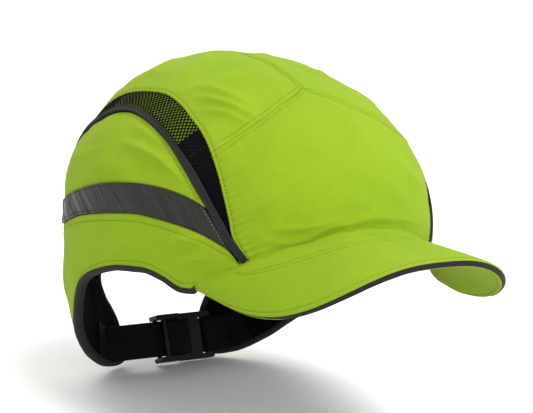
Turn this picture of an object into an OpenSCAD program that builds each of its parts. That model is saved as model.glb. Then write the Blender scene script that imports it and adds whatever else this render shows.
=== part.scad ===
// Bump cap: fabric cap with mesh vents, a peak, an inner impact shell, padding and a buckled rear strap.
// Origin under the middle of the cap at the level of the neck flap edges. +Z up, the peak points to -Y,
// +X is the wearer's left.

/* [Crown] */
// half the outside width of the crown
head_half = 92; // [86:0.5:98]
// crown centre to the front of the crown
head_front = 123; // [112:0.5:132]
// crown centre to the back of the crown
head_rear = 101; // [94:0.5:110]
// crown centre to the top of the crown
head_top = 85; // [78:0.5:92]
// lower semi-axis that shapes the neck flaps
head_drop = 165; // [140:1:200]
// height of the crown centre above the flap edges
head_z = 103.7; // [95:0.1:115]
// crown centre behind the origin
head_y = 44.3; // [38:0.1:48]

/* [Fabric] */
// thickness of the cover fabric
cloth = 1.2; // [0.8:0.1:2]
// gap between neighbouring panels at a seam
seam_gap = 0.3; // [0.2:0.05:0.6]
// how far the panel edges sink at a seam
seam_sink = 0.35; // [0:0.05:0.6]
// width of the hem binding
binding_w = 2.6; // [2:0.1:6]
// how far piping stands out of the cover
piping_proud = 1.4; // [0.6:0.1:2]

/* [Peak] */
// half width of the peak at its widest
peak_half = 68.5; // [60:0.5:76]
// peak length ahead of its root line
peak_long = 116.8; // [100:0.2:130]
// root line of the peak ahead of the crown centre
peak_root = 68.9; // [60:0.1:76]
// height of the peak crest over the crown centre
peak_crest = 17.5; // [10:0.5:25]
// how far the peak corners curve down
peak_arch = 56.2; // [40:0.2:70]
// thickness of the stiffening board
board_t = 1.4; // [1:0.1:1.8]
// diameter of the piping in the peak edge
peak_cord = 4; // [3:0.1:5]

/* [Protection] */
// wall thickness of the impact shell
shell_t = 2; // [1.5:0.1:3]
// thickness of the foam pads
pad_t = 5; // [3:0.5:8]
// thickness of the padded flap lining
lining_t = 2.1; // [1.5:0.1:2.2]
// thickness of the sweatband
sweatband_t = 2.5; // [1.5:0.1:4]
// width of the shell vent slots
slot_w = 6; // [4:0.5:8]

/* [Strap] */
// webbing width
web_w = 20; // [15:0.5:25]
// webbing thickness
web_t = 1.4; // [1:0.1:2]
// strap line behind the crown centre
strap_y = 70.5; // [66:0.1:76]
// strap line below the crown centre
strap_drop = 90; // [84:0.5:96]
// lean of the strap, top edge outwards
strap_lean = 22; // [10:0.5:30]
// half height of the buckle
buckle_h = 13.5; // [12.5:0.1:16]

/* [Hidden] */
$fn = 32;
across = 5;
foam_out = -cloth - 0.3 - shell_t - 0.5;
lining_out = -cloth - 0.3;
mouth_x = 6.3;
pivot_x = 3.4;
pivot_h = 8.4;
pivot_r = 2.2;
bar_x = 25.75;
bar_d = 0.35;

// Seam lines as [angle from the front, angle above the horizon], smoothed between the points.
bill_line = [[0, 7], [8, 6.5], [17.5, 3.7], [22.5, 1.8], [27, -0.2], [30.6, -2.2], [35, -4.6],
    [39, -6.8], [43, -9.4]];
front_seam = [[0, 54], [17, 45.5], [26, 39.5], [34, 34], [42, 28.5]];
front_low = [[0, 7], [8, 6.5], [17.5, 3.7], [22.5, 1.8], [28.8, -1.2]];
front_edge = [[28.8, -1.2], [31, 1.8], [33.4, 5.4], [34.6, 10], [36.4, 15.6], [38.8, 22], [42, 28.5]];
vent_top = [[33.4, 5.4], [34.6, 10], [36.4, 15.6], [38.8, 22], [42, 28.5], [46, 34], [52, 39.5],
    [64.5, 47], [80.5, 51], [98.5, 49.5], [118, 43.5], [135, 31], [146, 16], [152, -3.4]];
piping_top = [[28.8, -1.2], [33.4, 5.4], [35.8, 9], [38.4, 12.6], [42, 17.6], [47.4, 24], [55, 30.4],
    [64, 36], [77, 40.8], [92, 42.4], [105, 39.6], [116, 33.2], [131, 20.5], [143, 8], [152, -4.6]];
piping_low = [[30.6, -2.2], [35, 4], [38, 8.4], [41, 12.8], [44.5, 17], [49.9, 23], [57.2, 29.6],
    [65.6, 34.6], [77.6, 38.8], [91.7, 40.2], [104, 37.4], [114, 31.4], [128.8, 18.8], [140.6, 6.6],
    [149, -4.6]];
band_top = [[41.3, 12.7], [48, 15.2], [55.4, 16.7], [64, 17.2], [73, 16.5], [83, 14.7], [93, 11.7],
    [103, 8], [115, 3.5], [130, -1], [149, -5.2], [165, -7.2], [180, -8]];
band_low = [[32.6, 0.6], [35, 2.6], [42, 5.5], [50, 7.2], [59, 8], [67.5, 7.7], [82.5, 5], [96, 1.4],
    [106, -2], [118, -6], [132, -10], [149, -14], [165, -16.3], [180, -17]];
shell_rim = [[0, 7.8], [20, 3.9], [31, -1.2], [45, -4.8], [70, -6.5], [90, -9.5], [110, -13.5],
    [130, -15.5], [150, -16.4], [180, -17]];
// middles of the shell's vent slots, the third number tilts the slot
vent_slots = [[47, 28, -42], [57, 36, -32], [69, 42, -20], [83, 45.5, -6], [98, 45.5, 8], [112, 41, 20],
    [124, 34, 32]];
// hem: the third number is where the cloth above that point meets the band, as an angle from the front
hem = [[43, -9.4, 44], [45, -11.3, 46], [48, -11.8, 48.5], [51, -10.9, 51], [54, -9.9, 54], [58, -9.2, 58],
    [63, -9.5, 63], [70, -10.8, 70], [77, -12.6, 77], [85.5, -15.9, 85], [93, -19.7, 91], [97.5, -23, 95],
    [101, -26.8, 98], [104, -30.3, 101], [108, -34, 104], [113, -37.6, 107], [119, -41.2, 111],
    [126, -45, 115], [133, -48.3, 119], [141, -51, 123], [149, -52.4, 126.5], [155, -52.7, 129],
    [159, -52, 131], [161, -49.4, 133], [161.6, -46, 134.5], [161.4, -42.4, 136.5], [159.4, -38.8, 138.5],
    [156.8, -35.4, 141], [155.4, -31.4, 146], [156.8, -27.4, 153], [161.5, -23.8, 162], [169.5, -21.2, 171],
    [180, -20.4, 180]];
flap_end = 24;

function bend(a, b, c, d, t) =
    0.5 * (2 * b + (c - a) * t + (2 * a - 5 * b + 4 * c - d) * t * t + (3 * b - a - 3 * c + d) * t * t * t);
function smooth(k, n) = let (e = len(k) - 1) [
    for (i = [0:e - 1]) for (j = [0:n - 1])
        bend(k[max(i - 1, 0)], k[i], k[i + 1], k[min(i + 2, e)], j / n),
    k[e]
];
function at(path, s) = let (e = len(path) - 1, q = s * e, i = min(floor(q), e - 1))
    path[i] + (path[i + 1] - path[i]) * (q - i);
function pick(path, n, s0 = 0, s1 = 1) = [for (i = [0:n]) at(path, s0 + (s1 - s0) * i / n)];
function height_at(line, a) = lookup(a, [for (p = smooth(line, 5)) [p.x, p.y]]);
// unit directions from the crown centre, on the wearer's right
function ray(k) = [-sin(k.x) * cos(k.y), -cos(k.x) * cos(k.y), sin(k.y)];
function rays(path) = [for (k = path) ray(k)];
function opposite(path) = [for (i = [len(path) - 1:-1:0]) [-path[i].x, path[i].y, path[i].z]];
// point on the crown ellipsoid in direction d, moved outwards by off
function on_crown(d, off) =
    let (b = d.y < 0 ? head_front : head_rear, h = d.z > 0 ? head_top : head_drop)
    let (g = [d.x / head_half ^ 2, d.y / b ^ 2, d.z / h ^ 2])
    d / sqrt(d * g) + off * g / norm(g);
// net of directions between a lower and an upper line
function between(low, up, n) = [for (i = [0:len(low) - 1]) [for (j = [0:n]) low[i] + (up[i] - low[i]) * j / n]];
// net of directions inside four lines; low and up run front to back, near and far run upwards
function inside(low, up, near, far) =
    let (n = len(low) - 1, m = len(near) - 1)
    [for (i = [0:n]) let (u = i / n) [for (j = [0:m]) let (v = j / m)
        (1 - v) * low[i] + v * up[i] + (1 - u) * near[j] + u * far[j]
        - (1 - u) * ((1 - v) * low[0] + v * up[0]) - u * ((1 - v) * low[n] + v * up[n])]];
function flip(net) = [for (j = [0:len(net[0]) - 1]) [for (c = net) c[j]]];
function span(c) = norm(on_crown(c[0], 0) - on_crown(c[len(c) - 1], 0));
// each column of the net shortened by lo at its start and hi at its end, in mm
function trim(net, lo, hi) = [for (c = net) let (w = span(c), a = min(0.4, lo / w), b = min(0.4, hi / w))
    pick(c, len(c) - 1, a, 1 - b)];
function inset(net, g) = flip(trim(flip(trim(net, g, g)), g, g));
// line moved sideways over the crown by w mm, or by w[i] at its point i
function aside(path, w) = [for (i = [0:len(path) - 1])
    let (p = on_crown(path[i], 0), n = on_crown(path[i], 1) - p)
    let (a = on_crown(path[max(i - 1, 0)], 0), b = on_crown(path[min(i + 1, len(path) - 1)], 0))
    let (t = i > 0 && abs(p.x) < 0.01 ? [1, 0, 0] : (b - a) / norm(b - a))
    p + cross(t, n) * (is_list(w) ? w[i] : w)];
function full(path) = concat(opposite(path), [for (i = [1:len(path) - 1]) path[i]]);

// closed solid between an outer and an inner net of points
module solid(outer, inner) {
    n = len(outer);
    m = len(outer[0]);
    s = n * m;
    pts = concat([for (c = outer) for (p = c) p], [for (c = inner) for (p = c) p]);
    quads = concat(
        [for (i = [0:n - 2]) for (j = [0:m - 2]) let (a = i * m + j) [a, a + m, a + m + 1, a + 1]],
        [for (i = [0:n - 2]) for (j = [0:m - 2]) let (a = s + i * m + j) [a, a + 1, a + m + 1, a + m]],
        [for (i = [0:n - 2]) let (a = i * m) [a + m, a, a + s, a + m + s]],
        [for (i = [0:n - 2]) let (a = i * m + m - 1) [a, a + m, a + m + s, a + s]],
        [for (j = [0:m - 2]) [j, j + 1, j + 1 + s, j + s]],
        [for (j = [0:m - 2]) let (a = (n - 1) * m + j) [a + 1, a, a + s, a + 1 + s]]
    );
    translate([0, head_y, head_z])
        polyhedron(points = pts, faces = [for (q = quads) for (k = [1, 2]) [q[0], q[k], q[k + 1]]]);
}

// sheet over the crown from offset hi down to offset lo; its rim sinks by sink
module sheet(net, hi, lo, sink = 0) {
    n = len(net) - 1;
    m = len(net[0]) - 1;
    solid(
        [for (i = [0:n]) [for (j = [0:m])
            on_crown(net[i][j], hi - (i == 0 || j == 0 || i == n || j == m ? sink : 0))]],
        [for (c = net) [for (d = c) on_crown(d, lo)]]
    );
}

// rounded strip over the crown, proud by puff outside and by back inside
module roll(net, hi, lo, puff, back = 0) {
    m = len(net[0]) - 1;
    solid(
        [for (c = net) [for (j = [0:m]) on_crown(c[j], hi + puff * sin(180 * j / m))]],
        [for (c = net) [for (j = [0:m]) on_crown(c[j], lo - back * sin(180 * j / m))]]
    );
}

module left() {
    mirror([1, 0, 0]) children();
}

// Cover panels
front_side = pick(rays(smooth(front_edge, 4)), 14);
front_net = inside(
    full(pick(rays(smooth(front_low, 4)), 10)),
    full(pick(rays(smooth(front_seam, 4)), 10)),
    [for (d = front_side) [-d.x, d.y, d.z]],
    front_side
);

module front_panel() {
    color([0.6, 0.75, 0.14]) sheet(inset(front_net, seam_gap), 0, -cloth, seam_sink);
}

module crown_panel_right() {
    low = pick(rays(smooth(concat([for (i = [4:13]) vent_top[i]], [[153, -5.6]]), 4)), 22);
    net = inside(low, [for (i = [0:22]) let (a = 54 + (188 - 54) * i / 22) [0, -cos(a), sin(a)]],
        pick(rays(smooth([for (i = [4:-1:0]) front_seam[i]], 4)), 12),
        pick(rays(smooth([[153, -5.6], [165, -7.2], [180, -8]], 4)), 12));
    color([0.6, 0.75, 0.14]) sheet(inset(net, seam_gap), 0, -cloth, seam_sink);
}

module crown_panel_left() {
    left() crown_panel_right();
}

module mesh_vent_right() {
    top = pick(rays(smooth(vent_top, 4)), 30);
    low = pick(rays(smooth([for (i = [1:14]) piping_top[i]], 4)), 30);
    color([0.06, 0.05, 0.06]) sheet(inset(between(low, top, 4), seam_gap), -0.2, -0.2 - cloth / 2);
}

module mesh_vent_left() {
    left() mesh_vent_right();
}

module vent_piping_right() {
    top = pick(rays(smooth(piping_top, 4)), 34);
    low = pick(rays(smooth(piping_low, 4)), 34);
    color([0.2, 0.2, 0.21]) roll(trim(between(low, top, 4), 0.1, 0.1), 0, -cloth, piping_proud);
}

module vent_piping_left() {
    left() vent_piping_right();
}

module side_panel_right() {
    top = pick(rays(smooth([for (i = [3:14]) piping_low[i]], 4)), 26);
    low = pick(rays(smooth([for (i = [0:10]) band_top[i]], 4)), 26);
    color([0.58, 0.73, 0.13]) sheet(inset(between(low, top, across), seam_gap), 0, -cloth, seam_sink);
}

module side_panel_left() {
    left() side_panel_right();
}

module reflective_band_right() {
    low = pick(rays(smooth(band_low, 4)), 34);
    top = pick(rays(smooth(band_top, 4)), 34);
    near = pick(rays(smooth([band_low[0], [35, 4], [38, 8.4], band_top[0]], 4)), across);
    far = pick([low[34], top[34]], across);
    color([0.45, 0.45, 0.45]) sheet(inset(inside(low, top, near, far), seam_gap), 0.3, -cloth, 0.2);
}

module reflective_band_left() {
    left() reflective_band_right();
}

// Lower panel net: the cloth runs from the peak seam and the hem up to the band
hem_fine = smooth(hem, 2);
bill_side = smooth([for (i = [5:8]) bill_line[i]], 2);
lower_low = concat([for (p = bill_side) if (p.x < 42.9) p], [for (p = hem_fine) [p.x, p.y]]);
lower_top = concat([for (p = bill_side) if (p.x < 42.9) [p.x + 2, height_at(band_low, p.x + 2)]],
    [for (p = hem_fine) [p[2], height_at(band_low, p[2])]]);
hem_start = len([for (p = bill_side) if (p.x < 42.9) p]);
hem_end = hem_start + 2 * flap_end;
lower_line = rays(lower_low);
lower_inset = [for (i = [0:len(lower_low) - 1]) i < hem_start ? seam_gap : binding_w + 0.1];
lower_net = between(aside(lower_line, lower_inset), aside(rays(lower_top), -seam_gap), across + 1);
binding_net = between(lower_line, aside(lower_line, binding_w), 4);

module lower_panel_right() {
    color([0.58, 0.73, 0.13]) sheet(flip(trim(flip(lower_net), seam_gap, seam_gap)), 0, -cloth, seam_sink);
}

module lower_panel_left() {
    left() lower_panel_right();
}

module hem_binding_right() {
    color([0.2, 0.2, 0.21]) roll([for (i = [hem_start:hem_end]) binding_net[i]], 0.1, -cloth - 0.1, 0.5, 0.5);
}

module hem_binding_left() {
    left() hem_binding_right();
}

module opening_binding() {
    half = [for (i = [hem_end + 1:len(binding_net) - 1]) binding_net[i]];
    net = concat(half, [for (i = [len(half) - 2:-1:0]) [for (d = half[i]) [-d.x, d.y, d.z]]]);
    color([0.2, 0.2, 0.21]) roll(net, 0.1, -cloth - 0.1, 0.5, 0.5);
}

module lining_right() {
    low = aside(lower_line, binding_w + 0.6);
    net = [for (i = [hem_start + 18:2:hem_start + 54]) let (a = lower_top[i].x)
        between([low[i]], [on_crown(ray([a, height_at(shell_rim, a) - 1.5]), 0)], across)[0]];
    color([0.05, 0.05, 0.06]) sheet(net, lining_out, lining_out - lining_t);
}

module lining_left() {
    left() lining_right();
}

// Impact shell and its pads
function dome(s, t, grow = 0) =
    let (x = -s * sqrt(1 - t * t / 2), y = t * sqrt(1 - s * s / 2))
    let (a = abs(atan2(abs(x), -y)), r = min(1, norm([x, y])))
    let (up = 90 - r * (90 - height_at(shell_rim, a) - grow))
    let (d = ray([a, up]))
    [x > 0 ? -d.x : d.x, d.y, d.z];

module bump_shell() {
    net = [for (i = [0:22]) [for (j = [0:22]) dome(i / 11 - 1, j / 11 - 1)]];
    color([0.1, 0.1, 0.11]) difference() {
        sheet(net, -cloth - 0.3, -cloth - 0.3 - shell_t);
        translate([0, head_y, head_z]) for (m = [0, 1]) mirror([m, 0, 0]) for (k = vent_slots)
            rotate([0, 0, -k[0]]) rotate([-k[1], 0, 0]) rotate([90, k[2], 0])
                translate([0, 0, 60]) scale([2.1, 1, 1]) cylinder(h = 90, d = slot_w);
    }
}

module pad(s0, s1, t0, t1, n, m) {
    net = [for (i = [0:n]) [for (j = [0:m]) dome(s0 + (s1 - s0) * i / n, t0 + (t1 - t0) * j / m)]];
    color([0.13, 0.13, 0.14]) sheet(net, foam_out, foam_out - pad_t, 0.8);
}

module pad_front() {
    pad(-0.4, 0.4, -0.7, -0.43, 8, 5);
}

module pad_top() {
    pad(-0.3, 0.3, -0.36, 0.38, 7, 8);
}

module pad_right() {
    pad(0.38, 0.7, -0.36, 0.4, 5, 8);
}

module pad_left() {
    left() pad_right();
}

module pad_rear() {
    pad(-0.4, 0.4, 0.46, 0.8, 8, 5);
}

module sweatband() {
    low = rays(smooth([[0, 6.2], [20, 2.4], [43, -6.8], [60, -6.6], [77, -9.6], [90, -14], [100, -18]], 3));
    top = rays(smooth([[0, 24], [20, 22], [43, 14], [60, 11], [77, 8], [90, 4], [100, 0]], 3));
    net = between(full(low), full(top), 4);
    color([0.08, 0.08, 0.09]) sheet(net, foam_out, foam_out - sweatband_t, 0.4);
}

// Peak: plan outline, arch and the seam where it joins the crown
function peak_outline(a, grow) = [
    (peak_half + grow) * sign(sin(a)) * abs(sin(a)) ^ 0.62,
    -peak_root - (peak_long + grow) * abs(cos(a)) ^ 0.57
];
function peak_z(x, y) = let (f = (-peak_root - y) / 100)
    peak_crest - (peak_arch + 1.1 * f) * abs(x / 80) ^ 2.7 - 7.8 * f + 5.5 * f * f;
peak_seam = full(rays(smooth(bill_line, 4)));
corner_a = 86;

// outline angle at share s of the way round the edge, from +90 to -90
function peak_angle(s) = let (t = 1 - abs(1 - 2 * s))
    90 * sign(1 - 2 * s) * (1 - 0.45 * t - 0.55 * t * t * (3 - 2 * t));

// edge point at share s; past corner_a the edge runs straight back to the end of the seam
function peak_edge(s, stand, grow, trim) =
    let (a = peak_angle(s), far = abs(a) > corner_a, e = peak_outline(far ? corner_a * sign(a) : a, grow))
    let (c = on_crown(at(peak_seam, s < 0.5 ? trim : 1 - trim), stand) + [max(grow, 0) * sign(a), 0, 0])
    let (p = [e.x, e.y, peak_z(e.x, e.y)])
    far ? p + (c - p) * 0.9 * (abs(a) - corner_a) / (90 - corner_a) : p;

// direction across the peak's thickness, square to its surface away from the seam
function peak_across(x, y, w) =
    let (f = (-peak_root - y) / 100, k = w * 2.7 / 80 * (peak_arch + 1.1 * f))
    let (d = [k * sign(x) * abs(x / 80) ^ 1.7, 0, 1])
    d / norm(d);

// point at share v from the seam to the edge, along line i of n, moved into the peak by drop
function peak_point(i, n, v, drop, stand, grow, trim = 0) =
    let (s = i / n, p = on_crown(at(peak_seam, trim + (1 - 2 * trim) * s), stand))
    let (e = peak_edge(s, stand, grow, trim))
    let (x = p.x + (e.x - p.x) * v, y = p.y + (e.y - p.y) * v)
    let (lift_p = p.z - peak_z(p.x, p.y), lift_e = e.z - peak_z(e.x, e.y))
    let (w = min(1, 2.5 * v) * min(1, 0.1 + (90 - abs(peak_angle(s))) / (90 - corner_a)))
    [x, y, peak_z(x, y) + lift_e + (lift_p - lift_e) * (1 - v) ^ 2] - drop * peak_across(x, y, w);

module peak_layer(top, bottom, stand, grow, trim, n, m, skip = 0) {
    lines = [skip:n - skip];
    solid(
        [for (i = lines) [for (j = [m:-1:0]) peak_point(i, n, j / m, top, stand, grow, trim)]],
        [for (i = lines) [for (j = [m:-1:0]) peak_point(i, n, j / m, bottom, stand, grow, trim)]]
    );
}

module peak_top() {
    color([0.62, 0.76, 0.2]) peak_layer(0, 1, 0.5, -0.5, 0, 36, 6);
}

module peak_board() {
    color([0.15, 0.15, 0.16]) peak_layer(1.25, 1.25 + board_t, 0.5, -3, 0.03, 36, 5, 3);
}

module peak_under() {
    color([0.5, 0.62, 0.15]) peak_layer(2.1 + board_t, 3.1 + board_t, 0.5, -0.5, 0.03, 36, 6);
}

// axis of the piping, round the edge of the peak
cord_line = let (n = 40) [for (i = [0:n])
    peak_point(i, n, 1, (3.1 + board_t) / 2, 0.5, peak_cord / 2 - 0.3)];

// point on the piping at station i of its axis, at angle a about it
function cord_point(i, a) =
    let (e = len(cord_line) - 1, b = cord_line[min(i + 1, e)] - cord_line[max(i - 1, 0)])
    cord_line[i] + peak_cord / 2 * ([-b.y, b.x, 0] / norm([b.x, b.y]) * cos(a) + [0, 0, sin(a)]);

module peak_piping() {
    e = len(cord_line) - 1;
    color([0.2, 0.2, 0.21]) solid(
        [for (i = [0:e]) [for (k = [0:5]) cord_point(i, -80 + 32 * k)]],
        [for (i = [0:e]) [for (k = [0:5]) cord_point(i, -100 - 32 * k)]]
    );
}

// Rear strap: x along the strap, y outwards, z up its width
module on_strap() {
    translate([0, head_y + strap_y, head_z - strap_drop]) rotate([-strap_lean, 0, 0]) children();
}

// point on the straight strap, from the crown centre
function strap_point(x, d, h) = [
    x,
    strap_y + d * cos(strap_lean) + h * sin(strap_lean),
    -strap_drop - d * sin(strap_lean) + h * cos(strap_lean)
];

// webbing at each x in places: straight at depth d while it hangs free, else laid on the flap lining
module webbing(places, d, free) {
    rows = [-0.5, -0.25, 0, 0.25, 0.5] * web_w;
    under = lining_out - lining_t - 0.3;
    solid(
        [for (x = places) [for (h = rows)
            abs(x) < free ? strap_point(x, d, h) : on_crown(strap_point(x, 0, h), under)]],
        [for (x = places) [for (h = rows)
            abs(x) < free ? strap_point(x, d - web_t, h) : on_crown(strap_point(x, 0, h), under - web_t)]]
    );
}

module webbing_fixed() {
    r = 1.95;
    color([0.05, 0.05, 0.05]) {
        on_strap() translate([bar_x, bar_d, -web_w / 2]) linear_extrude(web_w) difference() {
            union() {
                circle(r + web_t);
                translate([0, -r - web_t]) square([3.25, r + web_t]);
                square([2, r + web_t]);
            }
            circle(r);
            translate([0, -r]) square([4, 2 * r]);
        }
        webbing([bar_x + 3, 33, 37.5, 42, 45, 48, 51], bar_d - r, 40);
    }
}

module webbing_adjust() {
    color([0.05, 0.05, 0.05]) webbing([-54, -51, -48, -45, -39.5, -30, -20, -10, 0, 12], -3.3, 42);
}

// flat plate over the strap: outline in x and z, from depth d0 to d1
module plate(d0, d1) {
    translate([0, d1, 0]) rotate([90, 0, 0]) linear_extrude(d1 - d0) children();
}

module rounded(x0, x1, h, r) {
    offset(r) translate([x0 + r, -h + r]) square([x1 - x0 - 2 * r, 2 * h - 2 * r]);
}

module buckle_female() {
    color([0.07, 0.07, 0.08]) on_strap() {
        difference() {
            plate(-2.9, 3.6) rounded(mouth_x, bar_x + 2.2, buckle_h, 1.6);
            plate(-1.35, 2.05) translate([mouth_x - 1, -buckle_h + 1.7]) square([13.2, 2 * buckle_h - 3.4]);
            plate(-1.35, 2.05) translate([9.3, -buckle_h - 1]) square([7.3, 2 * buckle_h + 2]);
            plate(-4, 5) translate([20.3, -web_w / 2 - 0.6]) square([9, web_w + 1.2]);
        }
        translate([bar_x, bar_d, -web_w / 2 - 1]) cylinder(h = web_w + 2, r = 1.75);
    }
}

module buckle_male() {
    color([0.07, 0.07, 0.08]) on_strap() {
        for (z = [-1, 1]) translate([0, 0, z * (buckle_h + web_w / 2 + 0.6) / 2])
            plate(-7.2, 2) rounded(-9, 6, (buckle_h - web_w / 2 - 0.6) / 2, 1.2);
        for (p = [[-7.4, -1.6], [-1.6, -1.6], [-4.5, -6.4]]) translate([p.x, p.y, -web_w / 2 - 1])
            cylinder(h = web_w + 2, r = 1.4);
        difference() {
            plate(-1.05, 1.75) union() {
                translate([0.2, -buckle_h + 1]) square([5.8, 2 * buckle_h - 2]);
                translate([0.2, -2.2]) square([15.5, 4.4]);
            }
            for (z = [-1, 1]) plate(-2, 3) {
                translate([pivot_x, z * pivot_h]) circle(pivot_r + 0.05);
                translate([pivot_x, z * pivot_h - 1.45 - z * 0.15]) square([4, 2.9]);
            }
        }
    }
}

module prong(z) {
    color([0.07, 0.07, 0.08]) on_strap() plate(-1.05, 1.75) scale([1, z]) union() {
        translate([pivot_x, pivot_h]) circle(pivot_r);
        polygon([[pivot_x, 7.4], [17.4, 7.8], [17.4, 9.6], [16.2, 11.4], [12, 13.3], [9.9, 13], [9.7, 9.4],
            [pivot_x, 9.4]]);
    }
}

module prong_upper() {
    prong(1);
}

module prong_lower() {
    prong(-1);
}

front_panel();
crown_panel_left();
crown_panel_right();
mesh_vent_left();
mesh_vent_right();
vent_piping_left();
vent_piping_right();
side_panel_left();
side_panel_right();
reflective_band_left();
reflective_band_right();
lower_panel_left();
lower_panel_right();
hem_binding_left();
hem_binding_right();
opening_binding();
lining_left();
lining_right();
bump_shell();
pad_front();
pad_top();
pad_left();
pad_right();
pad_rear();
sweatband();
peak_top();
peak_board();
peak_under();
peak_piping();
webbing_fixed();
webbing_adjust();
buckle_female();
buckle_male();
prong_upper();
prong_lower();
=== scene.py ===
import math
import bpy
import numpy as np
from mathutils import Matrix, Vector


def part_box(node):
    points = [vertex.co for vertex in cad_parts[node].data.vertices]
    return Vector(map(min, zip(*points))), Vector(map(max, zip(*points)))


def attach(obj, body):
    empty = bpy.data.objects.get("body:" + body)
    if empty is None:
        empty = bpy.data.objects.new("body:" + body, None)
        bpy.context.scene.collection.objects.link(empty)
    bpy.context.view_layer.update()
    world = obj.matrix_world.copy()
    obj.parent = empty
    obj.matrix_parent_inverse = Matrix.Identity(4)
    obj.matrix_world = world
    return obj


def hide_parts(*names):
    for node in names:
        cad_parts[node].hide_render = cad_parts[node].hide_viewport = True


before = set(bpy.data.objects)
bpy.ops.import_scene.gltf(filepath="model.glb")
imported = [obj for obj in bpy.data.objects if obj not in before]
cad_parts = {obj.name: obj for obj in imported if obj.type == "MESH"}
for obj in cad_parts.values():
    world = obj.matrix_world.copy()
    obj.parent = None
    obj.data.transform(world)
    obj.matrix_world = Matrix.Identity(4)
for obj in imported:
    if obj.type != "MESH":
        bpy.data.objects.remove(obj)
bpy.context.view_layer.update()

MM = 0.001
rad = np.radians

# ---- shape of the cap, in mm, as in the CAD
HALF, FRONT, REAR, TOP, DROP = 92.0, 123.0, 101.0, 85.0, 165.0
CENTRE = np.array([0.0, 44.3, 103.7])
CLOTH = 1.2

bill_line = [(0, 7), (8, 6.5), (17.5, 3.7), (22.5, 1.8), (27, -0.2), (30.6, -2.2), (35, -4.6), (39, -6.8), (43, -9.4)]
front_seam = [(0, 54), (17, 45.5), (26, 39.5), (34, 34), (42, 28.5)]
vent_top = [(33.4, 5.4), (34.6, 10), (36.4, 15.6), (38.8, 22), (42, 28.5), (46, 34), (52, 39.5), (64.5, 47),
            (80.5, 51), (98.5, 49.5), (118, 43.5), (135, 31), (146, 16), (152, -3.4)]
front_low = bill_line[:4] + [(28.8, -1.2)]
front_edge = [(28.8, -1.2), (31, 1.8)] + vent_top[:5]
piping_top = [(27.7, -1.0), (33.4, 5.4), (35.8, 9), (38.4, 12.6), (42, 17.6), (47.4, 24), (55, 30.4), (64, 36),
              (77, 40.8), (92, 42.4), (105, 39.6), (116, 33.2), (131, 20.5), (143, 8), (152, -4.6)]
piping_low = [(29.7, -1.8), (35, 4), (38, 8.4), (41, 12.8), (44.5, 17), (49.9, 23), (57.2, 29.6), (65.6, 34.6),
              (77.6, 38.8), (91.7, 40.2), (104, 37.4), (114, 31.4), (128.8, 18.8), (140.6, 6.6), (149, -4.6)]
band_top = [(41.3, 12.7), (48, 15.2), (55.4, 16.7), (64, 17.2), (73, 16.5), (83, 14.7), (93, 11.7), (103, 8),
            (115, 3.5), (130, -1), (149, -5.2), (165, -7.2), (180, -8)]
band_low = [(32.6, 0.6), (35, 2.6), (42, 5.5), (50, 7.2), (59, 8), (67.5, 7.7), (82.5, 5), (96, 1.4),
            (106, -2), (118, -6), (132, -10), (149, -14), (165, -16.3), (180, -17)]
shell_rim = [(0, 7.8), (20, 3.9), (31, -1.2), (45, -4.8), (70, -6.5), (90, -9.5), (110, -13.5), (130, -15.5),
             (150, -16.4), (180, -17)]
hem = [(43, -11.2, 45.0), (45, -11.7, 46.3), (48, -11.9, 48.5), (51, -11.0, 51), (54, -9.9, 54), (58, -9.2, 58),
       (63, -9.5, 63), (70, -10.8, 70), (77, -12.6, 77), (85.5, -15.9, 85), (93, -19.7, 91), (97.5, -23, 95),
       (101, -26.8, 98), (104, -30.3, 101), (108, -34, 104), (113, -37.6, 107), (119, -41.2, 111),
       (126, -45, 115), (133, -48.3, 119), (141, -51, 123), (149, -52.4, 126.5), (155, -52.7, 129),
       (159, -52, 131), (161, -49.4, 133), (161.6, -46, 134.5), (161.4, -42.4, 136.5), (159.4, -38.8, 138.5),
       (156.8, -35.4, 141), (155.4, -31.4, 146), (156.8, -27.4, 153), (161.5, -23.8, 162), (169.5, -21.2, 171),
       (180, -20.4, 180)]
FLAP_END = 24


def smooth(keys, n):
    """A curve through the keys, with n steps between two of them."""
    k = np.array(keys, float)
    far = np.concatenate([k[:1], k, k[-1:]])
    a, b, c, d = (x[:, None] for x in (far[:-3], k[:-1], k[1:], far[3:]))
    t = (np.arange(n) / n)[:, None]
    p = 0.5 * (2 * b + (c - a) * t + (2 * a - 5 * b + 4 * c - d) * t * t + (3 * b - a - 3 * c + d) * t ** 3)
    return np.concatenate([p.reshape(-1, k.shape[1]), k[-1:]])


def arc(p, axis=0):
    """Distance travelled along an axis of a line or net of points."""
    d = np.linalg.norm(np.diff(p, axis=axis), axis=-1)
    z = np.zeros_like(np.take(d, [0], axis=axis))
    return np.concatenate([z, np.cumsum(d, axis=axis)], axis=axis)


def sample(q, s, p):
    """The rows of p, which stand at distances s, read at distances q."""
    return np.stack([np.interp(q, s, p[:, k]) for k in range(p.shape[1])], -1)


def even(path, n):
    """n + 1 points at even distances."""
    p = np.asarray(path, float)
    s = arc(p)
    return sample(np.linspace(0, s[-1], n + 1), s, p)


def ray(k):
    k = np.asarray(k, float)
    a, b = rad(k[..., 0]), rad(k[..., 1])
    return np.stack([-np.sin(a) * np.cos(b), -np.cos(a) * np.cos(b), np.sin(b)], -1)


def height_at(line, a):
    s = smooth(line, 6)
    return np.interp(a, s[:, 0], s[:, 1])


def unit(a):
    return a / np.linalg.norm(a, axis=-1)[..., None]


def ease(t):
    return t * t * (3 - 2 * t)


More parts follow.
